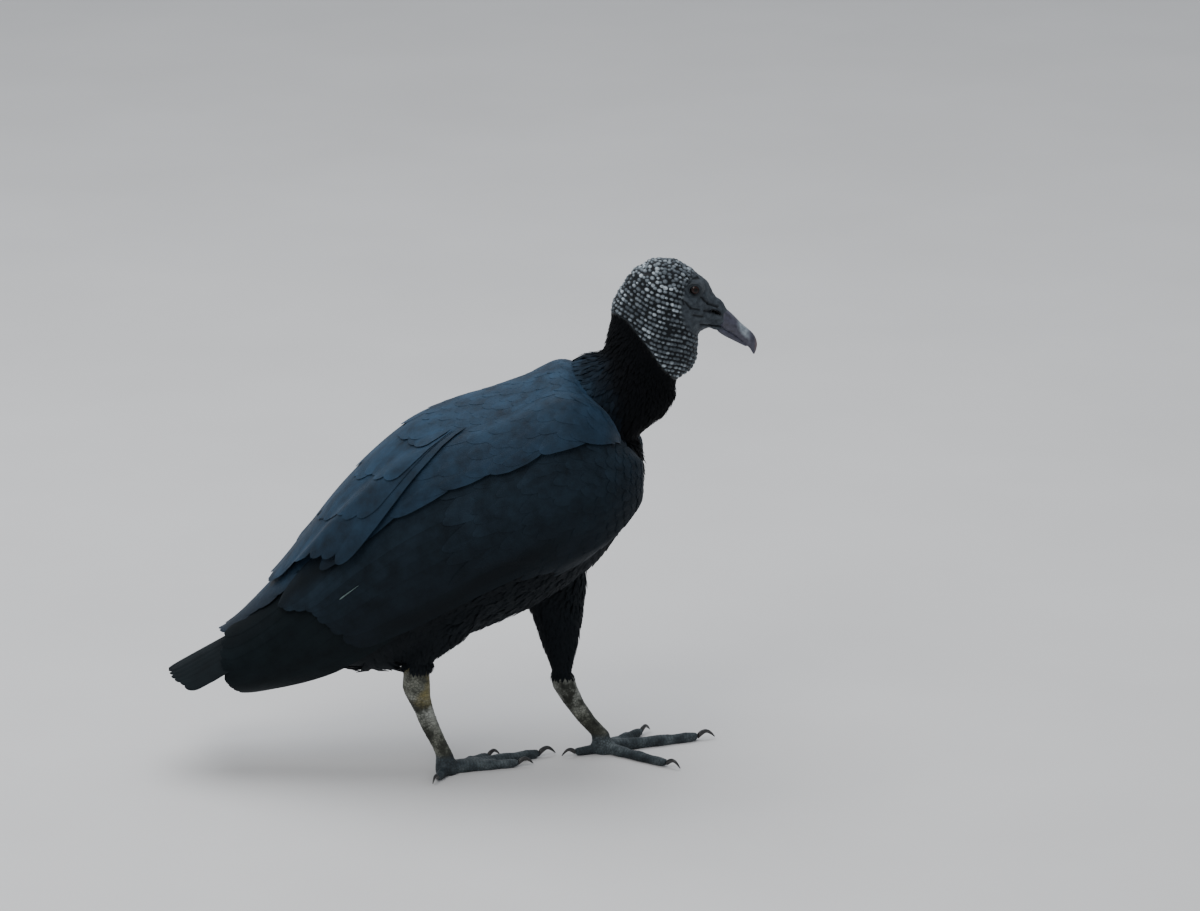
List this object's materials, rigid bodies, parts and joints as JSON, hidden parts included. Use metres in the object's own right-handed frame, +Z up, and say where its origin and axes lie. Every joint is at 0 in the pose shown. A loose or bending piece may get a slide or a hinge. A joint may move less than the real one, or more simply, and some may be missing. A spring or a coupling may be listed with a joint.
{
  "type": "bird model",
  "caption": "Life-size still model of a black vulture walking, with folded wings, bare wrinkled head, hooked bill and clawed feet, standing on its own soles.",
  "frame": {"origin": "centre of the model's box in X and Y, on the floor under the soles (Z = 0)", "axes": "+X from the tail toward the head, +Y toward the bird's left side, +Z up"},
  "size_m": [0.5586, 0.1982, 0.5025],
  "materials": {
    "plumage": "soft overlapping black feathers with a faint grey-blue sheen",
    "back_plumage": "smooth slate-black back feathers with a satin blue-grey sheen",
    "neck_plumage": "short velvety deep black feathers",
    "flight_feathers": "stiff brownish-black flight feathers, satin",
    "bare_skin": "dry dark grey bare skin covered in small pale-edged warts and wrinkles",
    "horn": "dark horn bill with a paler ivory tip, semi-gloss",
    "claw": "glossy black horn",
    "eye": "wet dark brown eye",
    "leg_scales": "dull grey-white scaled legs with olive stains",
    "toe_scales": "blue-grey scaled toes, dull"
  },
  "bodies": {
    "root": {"bill_lower": "horn", "bill_upper": "horn", "claw_back_left": "claw", "claw_back_right": "claw", "claw_inner_left": "claw", "claw_inner_right": "claw", "claw_middle_left": "claw", "claw_middle_right": "claw", "claw_outer_left": "claw", "claw_outer_right": "claw", "eye_left": "eye", "eye_right": "eye", "foot_left": "toe_scales", "foot_right": "toe_scales", "head": "bare_skin", "neck": "neck_plumage", "primaries_left": "flight_feathers", "primaries_right": "flight_feathers", "scapulars_left": "back_plumage", "scapulars_right": "back_plumage", "shank_left": "leg_scales", "shank_right": "leg_scales", "tail": "flight_feathers", "tertials_left": "back_plumage", "tertials_right": "back_plumage", "thigh_left": "neck_plumage", "thigh_right": "neck_plumage", "trunk": "plumage", "wing_left": "plumage", "wing_right": "plumage"}
  },
  "joints": []
}
